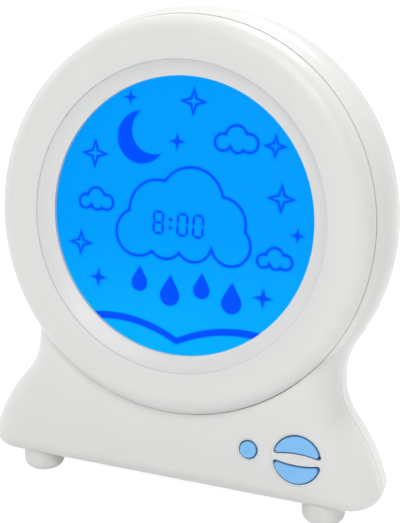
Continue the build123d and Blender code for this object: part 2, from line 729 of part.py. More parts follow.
def main_board():
    """Circuit board behind the tray."""
    sheet = Pos(0, BOARD_Y) * RectangleRounded(*BOARD_SIZE, 2.0)
    board = solid_between(sheet, BOARD_BACK_Z, BOARD_Z)
    holes = [
        rod(SMALL_SCREW[2] + HOLE_FIT, BOARD_BACK_Z - 1, BOARD_Z + 1, *place)
        for place in board_screw_places()
    ]
    return board - holes


def on_board(size, x, y):
    """A part that stands on the back of the main board."""
    return block(
        (x - size[0] / 2, x + size[0] / 2),
        (y - size[1] / 2, y + size[1] / 2),
        (BOARD_BACK_Z - size[2], BOARD_BACK_Z),
    )


def controller_chip():
    """Flat square controller with legs on all four sides."""
    length, width, height = CHIP_SIZE
    chip = on_board((length, width, height), 0, BOARD_Y - 4)
    chip = chamfer(in_plane(chip, Plane.XY.offset(BOARD_BACK_Z - height)), 0.25)
    legs = []
    for i in range(11):
        place = (i - 5) * 1.15
        legs.append(on_board((length + 2.4, 0.45, 0.35), 0, BOARD_Y - 4 + place))
        legs.append(on_board((0.45, width + 2.4, 0.35), place, BOARD_Y - 4))
    return chip + legs


def capacitor(x, y):
    """Upright electrolytic capacitor."""
    can = rod(CAP_R, BOARD_BACK_Z - CAP_H, BOARD_BACK_Z, x, y)
    can = fillet(in_plane(can, Plane.XY.offset(BOARD_BACK_Z - CAP_H)), 0.5)
    groove = tube(CAP_R + 1, CAP_R - 0.3, BOARD_BACK_Z - 1.5, BOARD_BACK_Z - 1.0, x, y)
    return can - groove


def clock_crystal():
    """Low can that keeps time."""
    can = on_board(CRYSTAL_SIZE, 22, BOARD_Y + 4)
    return fillet(can.edges().filter_by(Axis.Z), 2.0)


def flex_socket():
    """Socket at the board's lower edge that takes the display's flat cable."""
    y = BOARD_LOW_Y + SOCKET_SIZE[1] / 2
    return on_board(SOCKET_SIZE, 0, y)


def bent_sheet(points, bend, thickness, width, x):
    """A flat cable: straight runs in the YZ plane joined by arcs, thickened and extruded along x."""
    line = FilletPolyline(*points, radius=bend)
    start = line % 0
    profile = Plane(origin=line @ 0, z_dir=start, x_dir=(1, 0, 0))
    return Pos(x, 0, 0) * sweep(profile * Rectangle(width, thickness), path=line)


def lcd_flex():
    """Flat cable from the display's ledge round the edge of the tray to the main board."""
    front_z = GLASS_Z - GLASS_T + FLEX_T / 2
    low_y = -TRAY_R - FLEX_CLEAR
    back_z = BOARD_BACK_Z - SOCKET_SIZE[2] / 2
    points = [
        (0, -GLASS_HALF - 0.3, front_z),
        (0, low_y, front_z),
        (0, low_y, back_z),
        (0, BOARD_LOW_Y, back_z),
    ]
    return bent_sheet(points, FLEX_BEND, FLEX_T, FLEX_W, 0)


def key_board():
    """Small board that carries the three switches."""
    low = KEY_BOARD_Z - KEY_BOARD_T
    board = block(KEY_BOARD_X, KEY_BOARD_Y, (low, KEY_BOARD_Z))
    for place in KEY_POSTS:
        board -= rod(SMALL_SCREW[2] + HOLE_FIT, low - 1, KEY_BOARD_Z + 1, *place)
    return board


def key_ribbon():
    """Flat cable from the key board to the back of the main board."""
    key_y = KEY_BOARD_Y[1] - 3
    board_y = BOARD_LOW_Y + 4
    back_z = BOARD_BACK_Z - RIBBON_DROP
    points = [
        (0, key_y, KEY_BOARD_Z - KEY_BOARD_T),
        (0, key_y, back_z),
        (0, board_y, back_z),
        (0, board_y, BOARD_BACK_Z),
    ]
    return bent_sheet(points, RIBBON_BEND, RIBBON_T, RIBBON_W, RIBBON_X)


def switch_body(name):
    """Square push switch with a pressed metal cover and four legs."""
    x, y = BUTTONS[name]
    half = SWITCH / 2
    body = block((x - half, x + half), (y - half, y + half), (KEY_BOARD_Z, SWITCH_Z - SWITCH_COVER_T))
    body = chamfer(body.edges().filter_by(Axis.Z), 0.5)
    bore = rod(PLUNGER_R + PLUNGER_FIT, SWITCH_Z - PLUNGER_DEPTH - TRAVEL - 0.2, SWITCH_Z + 1, x, y)
    return body - bore


def switch_cover(name):
    """Thin metal cover on top of a switch."""
    x, y = BUTTONS[name]
    half = SWITCH / 2 - 0.1
    plate = block((x - half, x + half), (y - half, y + half), (SWITCH_Z - SWITCH_COVER_T, SWITCH_Z))
    plate = chamfer(plate.edges().filter_by(Axis.Z), 0.5)
    return plate - rod(PLUNGER_R + PLUNGER_FIT, SWITCH_Z - 1, SWITCH_Z + 1, x, y)


def plunger(name):
    """Round plunger of a switch, under the button's stem."""
    return rod(PLUNGER_R, SWITCH_Z - PLUNGER_DEPTH, PLUNGER_Z, *BUTTONS[name])


# ---- speaker and power inlet, seen from the back ---------------------------------------------------
def speaker_screw_places():
    """Three screws round the speaker."""
    return [polar(SPEAKER_SCREW_R, 120 * i - 90) for i in range(3)]


def grille_places():
    """A centre hole with rings of six, twelve and eighteen round it."""
    places = [(0.0, 0.0)]
    for ring in range(1, GRILLE_RINGS + 1):
        places += [polar(ring * GRILLE_PITCH, 60 / ring * i) for i in range(6 * ring)]
    return places


def speaker_gasket():
    """Foam ring between speaker and case."""
    return tube(SPEAKER_R, SPEAKER_R - 3.0, SPEAKER_FACE, -WALL)


def speaker_frame():
    """Pressed basket with its flange, wall and back plate, and two terminals below."""
    outline = Polyline(
        (SPEAKER_R, SPEAKER_FACE),
        (CONE_R + CONE_FIT, SPEAKER_FACE),
        (CONE_R + CONE_FIT, CONE_SEAT),
        (CONE_R - 1.0, CONE_SEAT),
        (CONE_R - 1.0, CONE_SEAT - BASKET_T),
        (MAGNET_R + 0.4, SPEAKER_BACK + BASKET_T),
        (0, SPEAKER_BACK + BASKET_T),
        (0, SPEAKER_BACK),
        (MAGNET_R + 1.0, SPEAKER_BACK),
        (CONE_R - 0.3, SPEAKER_SEAT - BASKET_T),
        (CONE_R + CONE_FIT + 0.2, SPEAKER_SEAT),
        (SPEAKER_R, SPEAKER_SEAT),
        (SPEAKER_R, SPEAKER_FACE),
    )
    frame = turned([outline])
    for side in (-1, 1):
        x = side * WIRE_SPACING
        y_range = (SPEAKER_R - 4.5, SPEAKER_R - 0.5)
        frame += block((x - 0.9, x + 0.9), y_range, (SPEAKER_SEAT - 2.4, SPEAKER_SEAT))
    return frame


def speaker_cone():
    """Paper cone with a rolled edge and a dust cap."""
    low = CONE_SEAT - 4.5
    outline = Polyline(
        (CONE_R, CONE_SEAT + 0.6),
        (CONE_R, CONE_SEAT),
        (CONE_R - 1.1, CONE_SEAT),
        (6.0, low),
        (0, low),
        (0, low + 2.2),
        (4.0, low + 1.5),
        (6.0, low + 0.6),
        (CONE_R - 1.6, CONE_SEAT + 0.6),
        (CONE_R, CONE_SEAT + 0.6),
    )
    return turned([outline])


def speaker_magnet():
    """Round magnet on the back of the basket."""
    magnet = rod(MAGNET_R, SPEAKER_BACK - MAGNET_H, SPEAKER_BACK)
    return chamfer(magnet.edges(), 0.4)


def speaker_screws():
    """Screws whose heads hold the speaker's flange, seen from the inside."""
    return [screw(WIDE_SCREW, SPEAKER_SCREW_LENGTH, *place, SPEAKER_SEAT) for place in speaker_screw_places()]


def dc_jack():
    """Threaded barrel with a flange, bored for the plug."""
    body = rod(JACK_R, -JACK_LENGTH, 0) + rod(JACK_FLANGE_R, -JACK_FLANGE_T, 0)
    body -= rod(JACK_BORE_R, -JACK_BORE_DEPTH, 1)
    return body


def dc_jack_pin():
    """Centre pin of the power inlet."""
    pin = rod(JACK_PIN_R, -JACK_BORE_DEPTH, -1.5)
    return fillet(pin.edges().sort_by(Axis.Z)[-1], 0.5)


def dc_jack_nut():
    """Nut that holds the inlet from inside."""
    nut = solid_between(RegularPolygon(JACK_NUT, 6, major_radius=False), -WALL - JACK_NUT_T, -WALL)
    return nut - rod(JACK_R + PILOT_FIT, -WALL - JACK_NUT_T - 1, 0)


def wire(points):
    """Insulated wire along straight runs joined by arcs."""
    shortest = min((b - a).length for a, b in zip(points, points[1:]))
    line = FilletPolyline(*points, radius=min(0.45 * shortest, 6.0))
    profile = Plane(origin=line @ 0, z_dir=line % 0) * Circle(WIRE_R)
    return sweep(profile, path=line)


def board_point(x, y):
    """A point on the back of the main board."""
    return Vector(*FACE.from_local_coords((x, y, BOARD_BACK_Z)))


def wires_to_board(starts, y):
    """Wires that turn towards the main board and end square on it."""
    solids = []
    for points in starts:
        x = points[-1].X
        end = board_point(x, y)
        last = end - FACE.z_dir * ((points[-1].Y - end.Y) / cos(radians(TILT)))
        solids.append(wire(points + [last, end]))
    return group(solids)


def speaker_wires():
    """Two wires from the speaker's terminals down to the main board."""
    depth = CASE_BACK + SPEAKER_FACE - 2.4
    top = SPEAKER_H - SPEAKER_R + 0.5
    starts = [[Vector(side * WIRE_SPACING, depth, top)] for side in (-1, 1)]
    return wires_to_board(starts, BOARD_Y - 16)


def power_wires():
    """Two wires from the power inlet up to the main board."""
    depth = CASE_BACK - JACK_LENGTH
    starts = [
        [
            Vector(JACK_X + side * WIRE_SPACING, depth, JACK_H),
            Vector(JACK_X + side * WIRE_SPACING, depth - 7, JACK_H),
        ]
        for side in (-1, 1)
    ]
    return wires_to_board(starts, BOARD_LOW_Y + 12)


# ---- everything, by node ---------------------------------------------------------------------------
def build():
    """All pieces of the clock, by node name."""
    outer, inner = envelope(0), envelope(WALL)
    nodes = {
        "front_cover": front_cover(outer, inner),
        "rear_cover": rear_cover(outer, inner),
        "bezel_ring": bezel_ring(),
        "window_lens": on_face(rod(LENS_R, LENS_SEAT_Z - LENS_T, LENS_SEAT_Z)),
        "lcd_front_glass": on_face(front_glass()),
        "lcd_rear_glass": on_face(rear_glass()),
        "lcd_flex": on_face(lcd_flex()),
        "diffuser_sheet": on_face(rod(SHEET_R, GUIDE_Z, LEDGE_Z)),
        "light_guide": on_face(solid_between(guide_outline(), REFLECTOR_Z, GUIDE_Z)),
        "reflector_sheet": on_face(rod(SHEET_R, FLOOR_Z, REFLECTOR_Z)),
        "backlight_tray": on_face(backlight_tray()),
        "led_board_left": on_face(led_board(-1)),
        "led_board_right": on_face(led_board(1)),
        "backlight_leds": on_face(group([lamp(*place) for place in lamp_places()])),
        "main_board": on_face(main_board()),
        "controller_chip": on_face(controller_chip()),
        "board_capacitors": on_face(group([capacitor(*place) for place in CAP_PLACES])),
        "clock_crystal": on_face(clock_crystal()),
        "flex_socket": on_face(flex_socket()),
        "key_board": on_face(key_board()),
        "key_ribbon": on_face(key_ribbon()),
        "speaker_gasket": BACK_OF_SPEAKER.location * speaker_gasket(),
        "speaker_frame": BACK_OF_SPEAKER.location * speaker_frame(),
        "speaker_cone": BACK_OF_SPEAKER.location * speaker_cone(),
        "speaker_magnet": BACK_OF_SPEAKER.location * speaker_magnet(),
        "speaker_screws": BACK_OF_SPEAKER.location * group(speaker_screws()),
        "speaker_wires": speaker_wires(),
        "dc_jack": BACK_OF_JACK.location * dc_jack(),
        "dc_jack_pin": BACK_OF_JACK.location * dc_jack_pin(),
        "dc_jack_nut": BACK_OF_JACK.location * dc_jack_nut(),
        "power_wires": power_wires(),
    }
    for name in BUTTONS:
        nodes[f"{name}_button"] = push_button(name)
        nodes[f"{name}_switch_body"] = on_face(switch_body(name))
        nodes[f"{name}_switch_cover"] = on_face(switch_cover(name))
        nodes[f"{name}_switch_plunger"] = on_face(plunger(name))
    for row, place, stem in (("front", FRONT_FOOT, FRONT_STEM), ("rear", REAR_FOOT, REAR_FOOT)):
        for side, sign in (("left", -1), ("right", 1)):
            nodes[f"foot_{row}_{side}"] = foot(sign, place, stem, outer)

    def screws(size, length, places, head_z):
        return on_face(group([screw(size, length, *place, head_z) for place in places]))

    ring_head_z, key_head_z = SHELF_Z - LUG_T, KEY_BOARD_Z - KEY_BOARD_T
    nodes["ring_screws"] = screws(SMALL_SCREW, RING_SCREW_LENGTH, ring_screw_places(), ring_head_z)
    nodes["board_screws"] = screws(
        SMALL_SCREW, BOARD_SCREW_LENGTH, board_screw_places(), BOARD_BACK_Z
    )
    nodes["key_board_screws"] = screws(SMALL_SCREW, KEY_SCREW_LENGTH, KEY_POSTS, key_head_z)
    nodes["case_screws"] = screws(CASE_SCREW, CASE_SCREW_LENGTH, case_screw_places(), HEAD_SEAT_Z)
    return nodes


for node_name, node_shape in build().items():
    export_step(node_shape, f"parts/{node_name}.step")
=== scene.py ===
"""Bedside clock for a child: finishes, the backlit picture and a small studio.

Everything is in metres in the clock's own frame: Z up, the display faces -Y. The rigid pieces come
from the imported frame; this add-on gives them their finishes and makes the printed picture.
"""

import json
from math import cos, radians, sin

import bpy
from mathutils import Matrix, Vector


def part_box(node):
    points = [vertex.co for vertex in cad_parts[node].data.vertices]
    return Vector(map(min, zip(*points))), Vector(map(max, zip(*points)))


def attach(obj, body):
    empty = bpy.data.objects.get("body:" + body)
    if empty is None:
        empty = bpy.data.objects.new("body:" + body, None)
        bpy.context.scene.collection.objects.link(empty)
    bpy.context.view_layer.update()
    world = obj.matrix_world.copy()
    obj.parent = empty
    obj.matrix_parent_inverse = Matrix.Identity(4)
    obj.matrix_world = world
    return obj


bl_info = {
    "name": "Child's Bedside Clock",
    "version": (1, 0, 0),
    "blender": (4, 5, 0),
    "location": "3D View > Sidebar > Bedside Clock",
    "description": "Finishes, display picture and studio for a round clock with a night light",
    "category": "Object",
}

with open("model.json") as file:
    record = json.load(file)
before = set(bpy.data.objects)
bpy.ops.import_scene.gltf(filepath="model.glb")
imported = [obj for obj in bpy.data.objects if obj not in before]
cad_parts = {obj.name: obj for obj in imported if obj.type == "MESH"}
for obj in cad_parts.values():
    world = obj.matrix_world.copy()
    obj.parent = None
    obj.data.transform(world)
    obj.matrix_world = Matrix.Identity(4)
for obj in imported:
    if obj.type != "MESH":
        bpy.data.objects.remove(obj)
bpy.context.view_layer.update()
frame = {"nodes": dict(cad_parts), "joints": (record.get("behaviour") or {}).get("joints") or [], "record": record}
MM = 0.001

# ---- where the display is ------------------------------------------------------------------------
# The keys press straight into the face, so their axis gives the lean of the display.
FACE_OUT = -Vector(frame["joints"][0]["axis"]).normalized()
FACE_UP = FACE_OUT.cross(Vector((1, 0, 0))).normalized()
GLASS_LOW, GLASS_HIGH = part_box("lcd_front_glass")
GLASS_THICKNESS = 1.1 * MM
DISPLAY_CENTRE = (GLASS_LOW + GLASS_HIGH) / 2 + FACE_OUT * GLASS_THICKNESS / 2
FACE_MATRIX = Matrix.Translation(DISPLAY_CENTRE) @ Matrix(
    ((1, FACE_UP.x, FACE_OUT.x), (0, FACE_UP.y, FACE_OUT.y), (0, FACE_UP.z, FACE_OUT.z))
).to_4x4()
PRINT_SINK = 0.01 * MM    # how deep the print keys into the glass
GLOW_REACH = 45 * MM      # from the middle of the display down to where its foot's colour is full
GLOW_MOTTLE = 0.25        # how much the backlight's colour wavers

# ---- studio --------------------------------------------------------------------------------------
# Soft round lamps: where each stands, its width and its power. All of them aim at LAMP_AIM.
LAMPS = {
    "high_front_lamp": ((0.2, -0.9, 1.0), 0.8, 7.4),
    "rim_lamp": ((0.15, 0.45, 1.0), 0.4, 5.4),
    "left_lamp": ((-1.0, 0.0, 0.4), 0.6, 1.5),
    "front_lamp": ((0.0, -1.3, 0.15), 1.0, 0.9),
}
LAMP_AIM = Vector((0, 0, 0.08))
FLOOR_SIZE = 6.0                # fills the view behind the clock up to the picture's top edge
FLOOR_WHITE = (0.82, 0.82, 0.82, 1)
SENSOR_HEIGHT = 36.0            # in millimetres, as the focal length is

# ---- picture, in millimetres on the display with (0, 0) in its middle ----------------------------
# The moon and the round that is bitten out of it: x, y and radius.
MOON = (-15.5, 24.5, 8.6)
MOON_BITE = (-11.4, 26.9, 7.6)

# The rounds that a cloud is made of: x, y and radius. Then where the clouds are, and their scale.
BIG_PUFFS = (
    (-13, -4, 7.5), (-7, 3, 9.5), (3.5, 6.5, 10.5), (13, 1, 8.2), (16.5, -5, 6.5), (-4, -5.5, 6),
    (5, -5.5, 6),
)
SMALL_PUFFS = ((-4, 0, 2.9), (0, 1.8, 3.7), (4, 0.2, 3.1), (0.5, -0.6, 2.6))
BIG_CLOUD = (-1, -2, 1.1)
SMALL_CLOUDS = ((17, 25, 1.1), (-31, 2, 0.95), (32, -11, 0.9))

# Sparkles: x, y and reach.
SPARKLE_LINES = ((2, 37, 5.0), (-32, 18, 5.2), (33, 9, 5.2), (-36, -12, 4.8), (30, 25, 4.4))
SPARKLE_SOLIDS = ((-3, 24, 3.2), (-29, -23, 3.6), (29, -23, 3.8), (39, -2, 2.8), (-20, 37, 2.8))
SPARKLE_WAIST = 0.3
LINE_WAISTS = (0.36, 0.26)      # of an outlined sparkle, outside and inside

# Drops: x, y and radius of the round part.
DROPS = ((-14, -23, 2.9), (-3, -26, 3.5), (8, -23, 2.9), (18.5, -26, 3.5))

# Hills: the tops of two great rounds, x, y and radius, drawn as a band and cut off at the window.
HILLS = ((-22, -80, 46), (23, -82, 48))
HILL_BAND = 2.4
PICTURE_R = 46

# Time: the middle of its row, the place of each character in steps of the pitch, and the shares of
# the digit height that give a digit's width, the pitch, the width of a bar and the colon's spread.
TIME_Y = -2.5
TIME_DIGITS = ((0, "8"), (1.55, "0"), (2.55, "0"))
COLON_STEP = 0.78
COLON_DOT = 0.75                # radius of its dots, as a share of a bar's width
DIGIT_WIDTH, DIGIT_PITCH, DIGIT_BAR, COLON_SPREAD = 0.53, 0.70, 0.115, 0.17
BAR_GAP = 0.55                  # between the bars' ends, as a share of the bar's width
BAR_POINT = 0.42                # bevel of a bar's ends, as a share of its width

# Which of the seven bars are lit: top, upper left and right, middle, lower left and right, foot.
DIGITS = {"8": "1111111", "0": "1110111"}

# ---- inner finishes: record slot to name, colour and roughness -----------------------------------
INNER_MOULDINGS = {
    "diffuser_white": ("frosted sheet", (0.88, 0.88, 0.88, 1), 0.6),
    "guide_clear": ("printed light guide", (0.80, 0.86, 0.90, 1), 0.15),
    "reflector_white": ("white film", (0.90, 0.90, 0.90, 1), 0.25),
    "tray_white": ("white tray", (0.74, 0.74, 0.71, 1), 0.45),
    "lamp_white": ("lamp body", (0.88, 0.84, 0.55, 1), 0.3),
    "chip_black": ("chip body", (0.018, 0.018, 0.02, 1), 0.5),
    "sleeve_dark": ("capacitor sleeve", (0.012, 0.02, 0.06, 1), 0.28),
    "socket_cream": ("socket body", (0.70, 0.64, 0.45, 1), 0.4),
    "ribbon_grey": ("flat cable", (0.34, 0.34, 0.34, 1), 0.5),
    "switch_black": ("switch body", (0.02, 0.02, 0.02, 1), 0.4),
    "inlet_black": ("inlet body", (0.014, 0.014, 0.016, 1), 0.38),
    "flex_amber": ("amber film", (0.48, 0.17, 0.02, 1), 0.25),
    "wire_red": ("red insulation", (0.42, 0.012, 0.01, 1), 0.35),
    "wire_black": ("black insulation", (0.012, 0.012, 0.013, 1), 0.35),
    "foam_black": ("black foam", (0.014, 0.014, 0.014, 1), 0.9),
    "speaker_black": ("black lacquer", (0.015, 0.015, 0.017, 1), 0.4),
    "magnet_grey": ("sintered magnet", (0.05, 0.05, 0.053, 1), 0.55),
}
INNER_METALS = {
    "can_steel": ("drawn can", (0.62, 0.62, 0.60, 1), 0.3),
    "screw_steel": ("zinc screw", (0.55, 0.55, 0.53, 1), 0.35),
    "nickel": ("nickel plate", (0.68, 0.66, 0.60, 1), 0.18),
}
CONE_COLOUR = (0.03, 0.03, 0.03, 1)
BOARD_GREEN = (0.008, 0.085, 0.03, 1)


# ---- settings ------------------------------------------------------------------------------------
class FinishSettings(bpy.types.PropertyGroup):
    """Colours and surface of the moulded pieces."""

    case_colour: bpy.props.FloatVectorProperty(
        name="Case colour", description="Warm white of the case", subtype="COLOR",
        size=4, min=0, max=1, default=(0.74, 0.742, 0.722, 1),
    )
    button_colour: bpy.props.FloatVectorProperty(
        name="Button colour", description="Sky blue of the push buttons", subtype="COLOR",
        size=4, min=0, max=1, default=(0.205, 0.515, 0.90, 1),
    )
    case_roughness: bpy.props.FloatProperty(
        name="Case roughness", description="Satin of the case", min=0, max=1, default=0.36,
        subtype="FACTOR",
    )
    grain_size: bpy.props.FloatProperty(
        name="Grain size", description="Size of the moulded grain", min=0.0001, max=0.01,
        default=0.0006, unit="LENGTH",
    )


class DisplaySettings(bpy.types.PropertyGroup):
    """Light and printed picture of the display."""

    upper_light: bpy.props.FloatVectorProperty(
        name="Upper light", description="Colour of the lit display at its top", subtype="COLOR",
        size=4, min=0, max=1, default=(0.0, 0.330, 1.0, 1),
    )
    lower_light: bpy.props.FloatVectorProperty(
        name="Lower light", description="Colour of the lit display at its foot", subtype="COLOR",
        size=4, min=0, max=1, default=(0.0, 0.43, 1.0, 1),
    )
    ink_light: bpy.props.FloatVectorProperty(
        name="Picture", description="Colour of the printed picture when lit", subtype="COLOR",
        size=4, min=0, max=1, default=(0.0, 0.066, 1.0, 1),
    )
    line_width: bpy.props.FloatProperty(
        name="Line width", description="Width of the picture's lines", min=0.0002, max=0.003,
        default=0.00095, unit="LENGTH",
    )
    digit_height: bpy.props.FloatProperty(
        name="Digit height", description="Height of the digits", min=0.003, max=0.02,
        default=0.0078, unit="LENGTH",
    )
    ink_thickness: bpy.props.FloatProperty(
        name="Print thickness", description="Thickness of the print on the glass", min=0.00001,
        max=0.0001, default=0.00005, unit="LENGTH",
    )


class StudioSettings(bpy.types.PropertyGroup):
    """Camera, lamps and floor."""

    camera_turn: bpy.props.FloatProperty(
        name="Camera turn", description="Turn of the camera to the clock's right",
        subtype="ANGLE", default=radians(22.52),
    )
    camera_height: bpy.props.FloatProperty(
        name="Camera height", description="Angle that the camera looks down by",
        subtype="ANGLE", default=radians(17.1),
    )
    camera_distance: bpy.props.FloatProperty(
        name="Camera distance", description="From the camera to the point it looks at",
        min=0.1, default=0.4038, unit="LENGTH",
    )
    camera_target: bpy.props.FloatVectorProperty(
        name="Camera target", description="Point that the camera looks at",
        subtype="XYZ", unit="LENGTH", default=(0.0, 0.004, 0.0755),
    )
    focal_length: bpy.props.FloatProperty(
        name="Focal length", description="Lens on a frame 36 mm high", min=10, default=82.6,
        unit="CAMERA",
    )
    room_light: bpy.props.FloatProperty(
        name="Room light", description="Strength of the even light all round", min=0, default=0.44,
    )
    floor_lift: bpy.props.FloatProperty(
        name="Floor lift", description="How far the floor's shade is lifted towards white", min=0,
        default=0.8,
    )


# ---- node groups shared by the finishes ----------------------------------------------------------
def new_group(name, inputs, outputs):
    """An empty node group with its sockets, and its two end nodes."""
    group = bpy.data.node_groups.new(name, "ShaderNodeTree")
    for label, kind, value in inputs:
        socket = group.interface.new_socket(name=label, in_out="INPUT", socket_type=kind)
        socket.default_value = value
    for label, kind in outputs:
        group.interface.new_socket(name=label, in_out="OUTPUT", socket_type=kind)
    return group, group.nodes.new("NodeGroupInput"), group.nodes.new("NodeGroupOutput")


def add_node(tree, kind, links=None, **settings):
    """A node with its settings, and a dict of socket name to value or to another node's output."""
    node = tree.nodes.new(kind)
    for key, value in settings.items():
        setattr(node, key, value)
    for socket, value in (links or {}).items():
        if isinstance(value, bpy.types.NodeSocket):
            tree.links.new(value, node.inputs[socket])
        else:
            node.inputs[socket].default_value = value
    return node


def math_node(tree, operation, first, second=0.0):
    """A Math node; each of the two values is a number or an output."""
    return add_node(tree, "ShaderNodeMath", {0: first, 1: second}, operation=operation).outputs[0]


def mix_colours(tree, factor, first, second, blend="MIX"):
    """A colour Mix node's output."""
    node = tree.nodes.new("ShaderNodeMix")
    node.data_type = "RGBA"
    node.blend_type = blend
    for index, value in ((0, factor), (6, first), (7, second)):
        if isinstance(value, bpy.types.NodeSocket):
            tree.links.new(value, node.inputs[index])
        else:
            node.inputs[index].default_value = value
    return node.outputs[2]


def moulded_grain():
    """Fine pebbled grain of moulded plastic, as a normal."""
    name = "moulded grain"
    if name in bpy.data.node_groups:
        return bpy.data.node_groups[name]
    group, start, end = new_group(
        name,
        [
            ("Size", "NodeSocketFloat", 0.0006),
            ("Depth", "NodeSocketFloat", 0.00001),
            ("Sink", "NodeSocketFloat", 0.3),
        ],
        [("Normal", "NodeSocketVector"), ("Height", "NodeSocketFloat")],
    )
    place = add_node(group, "ShaderNodeTexCoord").outputs["Object"]
    rate = math_node(group, "DIVIDE", 1.0, start.outputs["Size"])
    pebbles = add_node(
        group, "ShaderNodeTexNoise",
        {"Vector": place, "Scale": rate, "Detail": 2.0, "Roughness": 0.5},
    )
    slow = math_node(group, "MULTIPLY", rate, 0.02)
    waves = add_node(group, "ShaderNodeTexNoise", {"Vector": place, "Scale": slow, "Detail": 1.0})
    sunk = math_node(group, "MULTIPLY", waves.outputs["Fac"], start.outputs["Sink"])
    height = math_node(group, "ADD", pebbles.outputs["Fac"], sunk)
    bump = add_node(
        group, "ShaderNodeBump",
        {"Strength": 1.0, "Distance": start.outputs["Depth"], "Height": height},
    )
    group.links.new(bump.outputs["Normal"], end.inputs["Normal"])
    group.links.new(height, end.inputs["Height"])
    return group


def slow_tone():
    """Slight cloudiness of a colour and of its roughness, as handling leaves it."""
    name = "slow tone"
    if name in bpy.data.node_groups:
        return bpy.data.node_groups[name]
    group, start, end = new_group(
        name,
        [
            ("Colour", "NodeSocketColor", (0.8, 0.8, 0.8, 1)),
            ("Shade", "NodeSocketColor", (0.75, 0.74, 0.7, 1)),
            ("Amount", "NodeSocketFloat", 0.3),
            ("Size", "NodeSocketFloat", 0.03),
            ("Roughness", "NodeSocketFloat", 0.4),
            ("Spread", "NodeSocketFloat", 0.08),
        ],
        [("Colour", "NodeSocketColor"), ("Roughness", "NodeSocketFloat")],
    )
    place = add_node(group, "ShaderNodeTexCoord").outputs["Object"]
    rate = math_node(group, "DIVIDE", 1.0, start.outputs["Size"])
    clouds = add_node(
        group, "ShaderNodeTexNoise",
        {"Vector": place, "Scale": rate, "Detail": 4.0, "Roughness": 0.6},
    ).outputs["Fac"]
    soft = add_node(
        group, "ShaderNodeMapRange", {0: clouds, 1: 0.35, 2: 0.75, 3: 0.0, 4: 1.0}
    ).outputs[0]
    share = math_node(group, "MULTIPLY", soft, start.outputs["Amount"])
    colour = mix_colours(group, share, start.outputs["Colour"], start.outputs["Shade"])
    centred = math_node(group, "SUBTRACT", soft, 0.5)
    shift = math_node(group, "MULTIPLY", centred, start.outputs["Spread"])
    rough = math_node(group, "ADD", start.outputs["Roughness"], shift)
    group.links.new(colour, end.inputs["Colour"])
    group.links.new(rough, end.inputs["Roughness"])
    return group


def drawn_lines():
    """Fine lines that drawing or turning leaves on metal, as a mask and a normal."""
    name = "drawn lines"
    if name in bpy.data.node_groups:
        return bpy.data.node_groups[name]
    group, start, end = new_group(
        name,
        [
            ("Stretch", "NodeSocketVector", (1.0, 1.0, 12.0)),
            ("Size", "NodeSocketFloat", 0.0004),
            ("Depth", "NodeSocketFloat", 0.000005),
        ],
        [("Mask", "NodeSocketFloat"), ("Normal", "NodeSocketVector")],
    )
    place = add_node(group, "ShaderNodeTexCoord").outputs["Object"]
    squeezed = add_node(
        group, "ShaderNodeVectorMath", {0: place, 1: start.outputs["Stretch"]}, operation="MULTIPLY"
    ).outputs[0]
    rate = math_node(group, "DIVIDE", 1.0, start.outputs["Size"])
    lines = add_node(
        group, "ShaderNodeTexNoise", {"Vector": squeezed, "Scale": rate, "Detail": 3.0}
    ).outputs["Fac"]
    bump = add_node(
        group, "ShaderNodeBump",
        {"Strength": 1.0, "Distance": start.outputs["Depth"], "Height": lines},
    )
    group.links.new(lines, end.inputs["Mask"])
    group.links.new(bump.outputs["Normal"], end.inputs["Normal"])
    return group


# ---- finishes ------------------------------------------------------------------------------------
def new_finish(name):
    """A material with its Principled shader, ready to be wired."""
    material = bpy.data.materials.new(name)
    material.use_nodes = True
    tree = material.node_tree
    tree.nodes.clear()
    shader = add_node(tree, "ShaderNodeBsdfPrincipled")
    output = add_node(tree, "ShaderNodeOutputMaterial")
    tree.links.new(shader.outputs["BSDF"], output.inputs["Surface"])
    return material, tree, shader


def place_group(tree, group, **values):
    """A node group in a material, with its own values."""
    node = tree.nodes.new("ShaderNodeGroup")
    node.node_tree = group
    for key, value in values.items():
        node.inputs[key].default_value = value
    return node


def moulding(name, colour, shade=None, roughness=0.42, grain=0.0006, depth=0.000012, amount=0.25,
             tone=0.03):
    """Moulded plastic: satin, finely grained, its tone not quite even."""
    material, tree, shader = new_finish(name)
    if shade is None:
        shade = [channel * 0.93 for channel in colour[:3]] + [1]
    clouds = place_group(
        tree, slow_tone(), Colour=colour, Shade=shade, Amount=amount, Size=tone,
        Roughness=roughness, Spread=0.10,
    )
    pebbles = place_group(tree, moulded_grain(), Size=grain, Depth=depth, Sink=0.3)
    tree.links.new(clouds.outputs["Colour"], shader.inputs["Base Color"])
    tree.links.new(clouds.outputs["Roughness"], shader.inputs["Roughness"])
    tree.links.new(pebbles.outputs["Normal"], shader.inputs["Normal"])
    return material


def metal(name, colour, roughness=0.3, stretch=(1.0, 1.0, 12.0), size=0.0004):
    """Plated or drawn metal with fine lines."""
    material, tree, shader = new_finish(name)
    lines = place_group(tree, drawn_lines(), Stretch=stretch, Size=size, Depth=0.000004)
    dull = [channel * 0.8 for channel in colour[:3]] + [1]
    lined = mix_colours(tree, lines.outputs["Mask"], colour, dull)
    tree.links.new(lined, shader.inputs["Base Color"])
    spread = add_node(
        tree, "ShaderNodeMapRange",
        {0: lines.outputs["Mask"], 1: 0.3, 2: 0.7, 3: roughness - 0.06, 4: roughness + 0.08},
    )
    tree.links.new(spread.outputs[0], shader.inputs["Roughness"])
    tree.links.new(lines.outputs["Normal"], shader.inputs["Normal"])
    shader.inputs["Metallic"].default_value = 1.0
    return material


